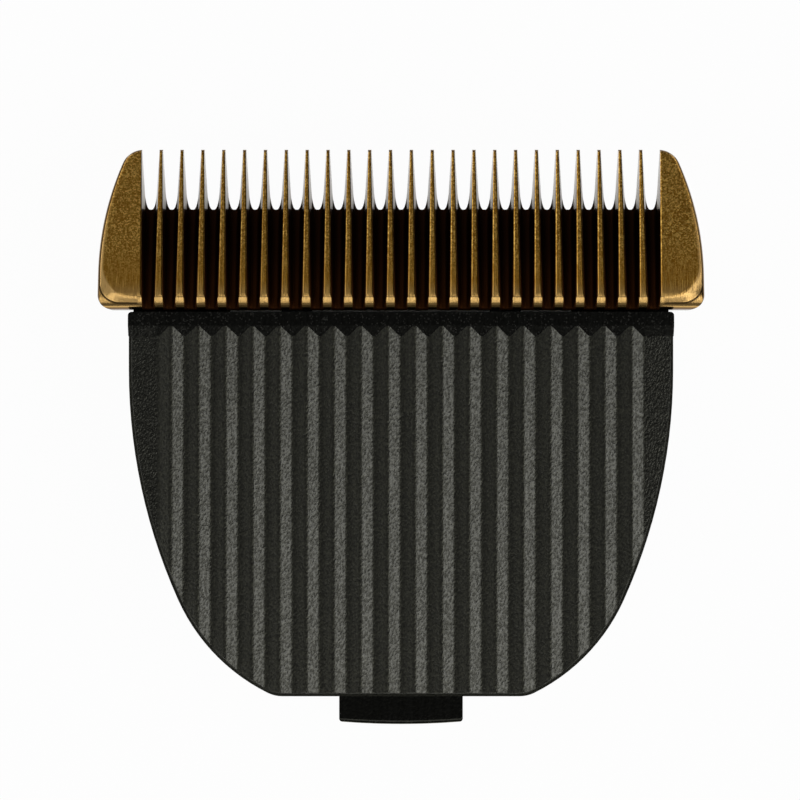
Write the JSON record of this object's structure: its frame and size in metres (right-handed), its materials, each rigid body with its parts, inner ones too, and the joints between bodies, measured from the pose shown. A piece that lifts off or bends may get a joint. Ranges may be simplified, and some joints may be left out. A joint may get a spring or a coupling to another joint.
{
  "type": "hair clipper blade",
  "caption": "Clip-on hair clipper blade set: gold coated comb with long ground teeth, sliding cutter behind it, and a black ribbed cover with a rear hook tab.",
  "frame": {"origin": "middle of the overall width and length, on the rest plane under the housing's rim", "axes": "+X along the tooth row, +Y to the tooth tips, +Z out of the ribbed front face"},
  "size_m": [0.046, 0.0444, 0.0104],
  "materials": {
    "gold_coated_steel": "satin gold coloured nitride coating on ground steel",
    "black_moulding": "black, fine moulded grain on the ribs, smooth elsewhere",
    "white_ceramic": "ground white",
    "grey_moulding": "dark grey, smooth",
    "spring_wire": "drawn wire",
    "bright_steel": "zinc plated"
  },
  "bodies": {
    "housing": {"cover_housing": "black_moulding", "comb_blade": "gold_coated_steel", "tension_spring": "spring_wire", "spring_pin": "bright_steel", "blade_screws": "bright_steel"},
    "cutter": {"cutter_blade": "white_ceramic", "cutter_carrier": "grey_moulding"}
  },
  "joints": [
    {"name": "cutter_slide", "type": "slide", "parent": "housing", "child": "cutter", "axis": [1, 0, 0], "range_m": [-0.0013, 0.0013]}
  ]
}
